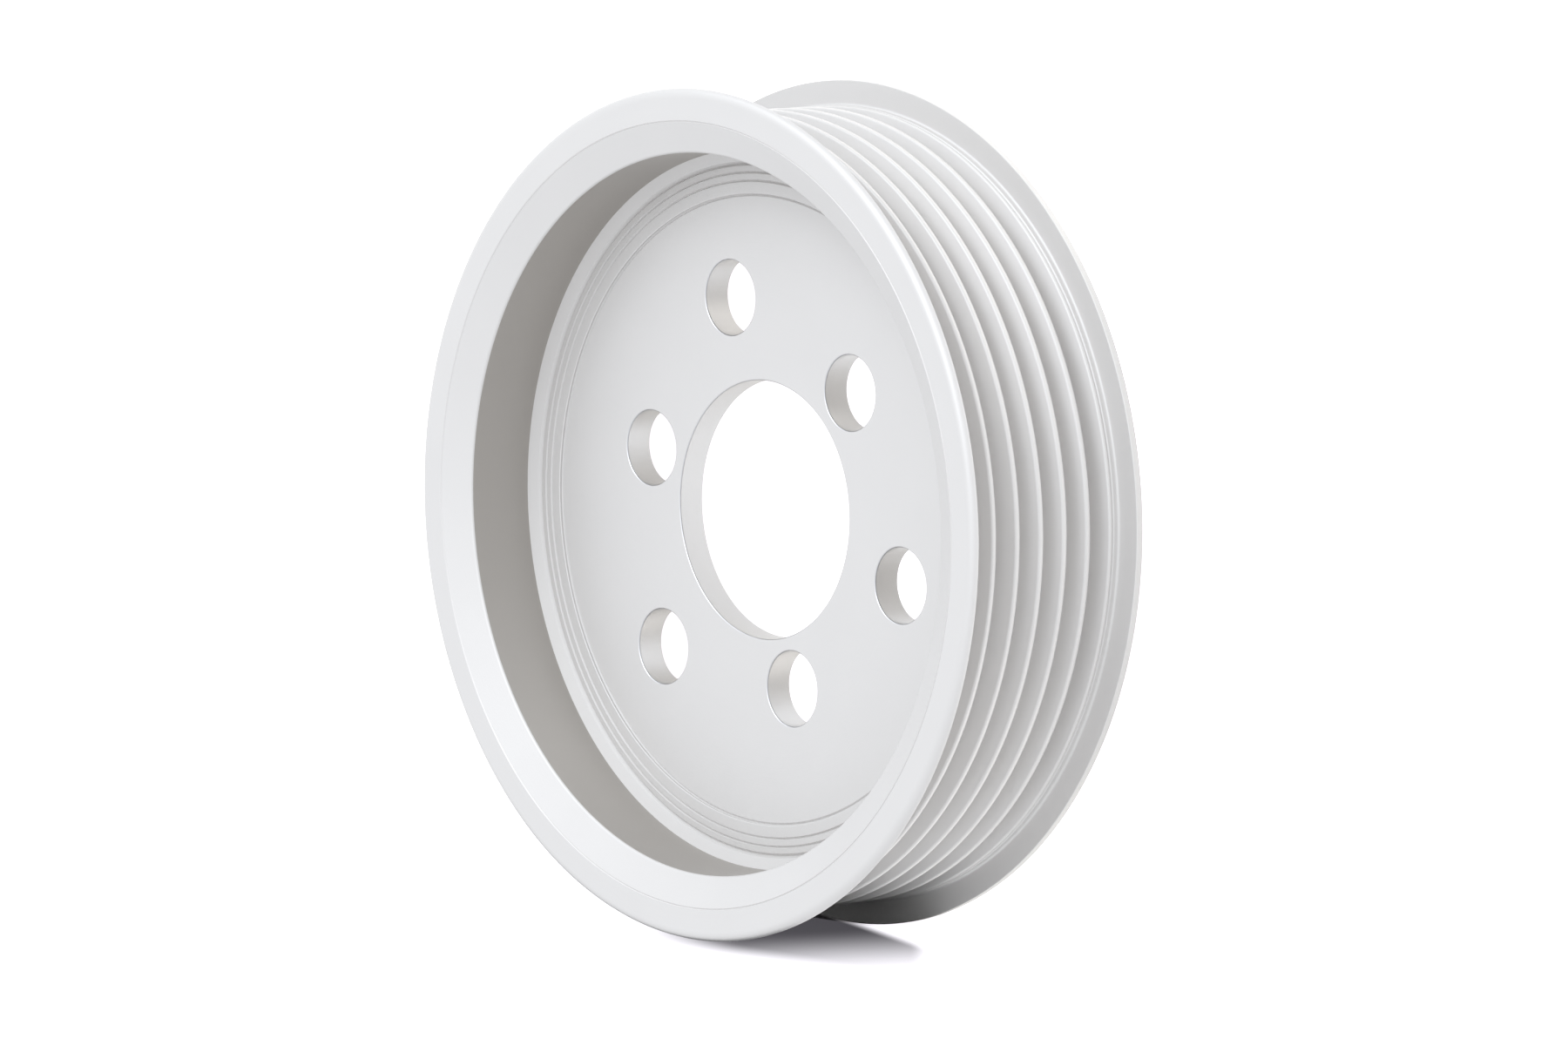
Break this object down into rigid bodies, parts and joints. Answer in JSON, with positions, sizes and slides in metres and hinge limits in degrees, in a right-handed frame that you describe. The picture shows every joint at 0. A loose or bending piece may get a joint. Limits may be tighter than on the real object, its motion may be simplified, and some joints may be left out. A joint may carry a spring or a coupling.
{
  "type": "water pump pulley",
  "caption": "Flanged pulley turned from solid aluminium, with V grooves for a ribbed belt, a recessed web, a centring bore and interleaved bolt circles.",
  "frame": {"origin": "centre of the rear rim, which the pulley stands on, at the middle of the box's bottom", "axes": "+Z along the pulley's axis, out of its open front; +Y through one bolt hole of the outer circle"},
  "size_m": [0.0984, 0.0984, 0.0258],
  "materials": {
    "aluminium": "fine turned, satin"
  },
  "bodies": {
    "root": {"pulley": "aluminium"}
  },
  "joints": []
}
